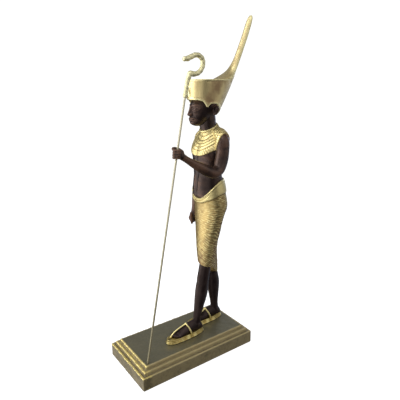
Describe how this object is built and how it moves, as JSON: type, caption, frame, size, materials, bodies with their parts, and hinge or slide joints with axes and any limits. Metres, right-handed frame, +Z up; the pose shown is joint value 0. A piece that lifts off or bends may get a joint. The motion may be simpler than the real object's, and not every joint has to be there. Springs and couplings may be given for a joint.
{
  "type": "striding king statuette",
  "caption": "Decorative statuette of a striding ancient king with a tall tailed crown, broad collar and pleated kilt, holding a long crook-headed staff, on a stepped plinth.",
  "frame": {"origin": "centre of the plinth's underside", "axes": "+Z up, -Y the way the king faces and strides, +X his left side, where the staff is"},
  "size_m": [0.078, 0.1711, 0.3795],
  "materials": {
    "plinth_finish": "worn antique gilt rubbed through to a dull olive brown",
    "dark_patina": "satin brown-black patina",
    "rod_brass": "aged satin brass",
    "gilding": "rubbed antique gilding with brown in the hollows"
  },
  "bodies": {
    "root": {"plinth": "plinth_finish", "figure": "dark_patina", "staff_rod": "rod_brass", "crook_head": "gilding"}
  },
  "joints": []
}
